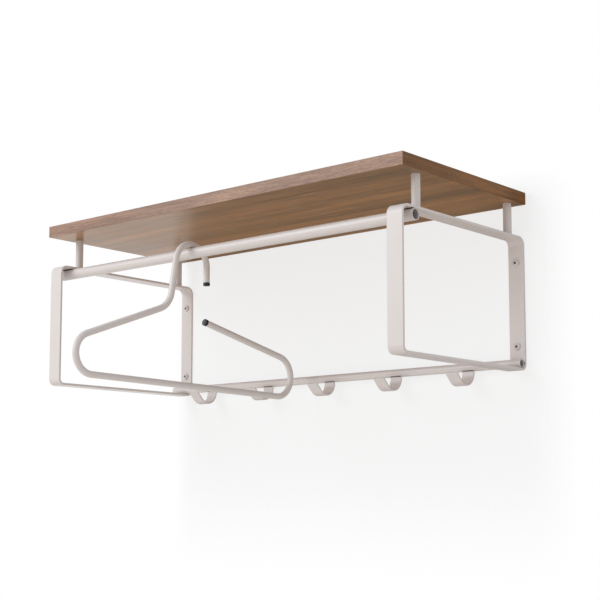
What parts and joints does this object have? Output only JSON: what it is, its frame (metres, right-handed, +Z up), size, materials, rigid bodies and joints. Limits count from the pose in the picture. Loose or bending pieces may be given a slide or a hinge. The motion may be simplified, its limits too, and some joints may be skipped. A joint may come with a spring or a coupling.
{
  "type": "wall hook rack",
  "caption": "Wall rack with a wooden hat shelf on round posts, bent flat-bar side frames, a round hanging rail with a bent-tube coat hanger, and a lower rail of strip hooks.",
  "frame": {"origin": "on the wall plane, at the centre of the four wall screws", "axes": "+X along the rack to the right as seen from the room, +Z up, and the room is on the -Y side, so the wall is the plane Y = 0"},
  "size_m": [0.705, 0.4865, 0.2795],
  "materials": {
    "veneer": "brown veneer, satin lacquer",
    "edge_wood": "thin wood edge band, matte lacquer",
    "painted_steel": "light warm grey powder coat, fine texture",
    "zinc_steel": "zinc plated",
    "brass": "turned brass",
    "black_plastic": "moulded black plastic"
  },
  "bodies": {
    "rack": {"shelf_board": "veneer", "edge_band_front": "edge_wood", "edge_band_rear": "edge_wood", "edge_band_left": "edge_wood", "edge_band_right": "edge_wood", "left_frame": "painted_steel", "right_frame": "painted_steel", "hanging_rail": "painted_steel", "lower_rail": "painted_steel", "post_front_left": "painted_steel", "post_front_right": "painted_steel", "post_rear_left": "painted_steel", "post_rear_right": "painted_steel", "shelf_screw_front_left": "zinc_steel", "shelf_screw_front_right": "zinc_steel", "shelf_screw_rear_left": "zinc_steel", "shelf_screw_rear_right": "zinc_steel", "threaded_insert_front_left": "brass", "threaded_insert_front_right": "brass", "threaded_insert_rear_left": "brass", "threaded_insert_rear_right": "brass", "wall_screw_upper_left": "painted_steel", "wall_screw_lower_left": "painted_steel", "wall_screw_upper_right": "painted_steel", "wall_screw_lower_right": "painted_steel", "hook_1": "painted_steel", "hook_2": "painted_steel", "hook_3": "painted_steel", "hook_4": "painted_steel", "hook_5": "painted_steel"},
    "hanger": {"hanger_tube": "painted_steel", "hanger_hook_cap": "black_plastic", "hanger_shoulder_cap": "black_plastic"}
  },
  "joints": [
    {"name": "hanger_swing", "type": "hinge", "parent": "rack", "child": "hanger", "pos_m": [-0.055, -0.267, 0.08435], "axis": [-1, 0, 0], "range_deg": [-15, 60]}
  ]
}
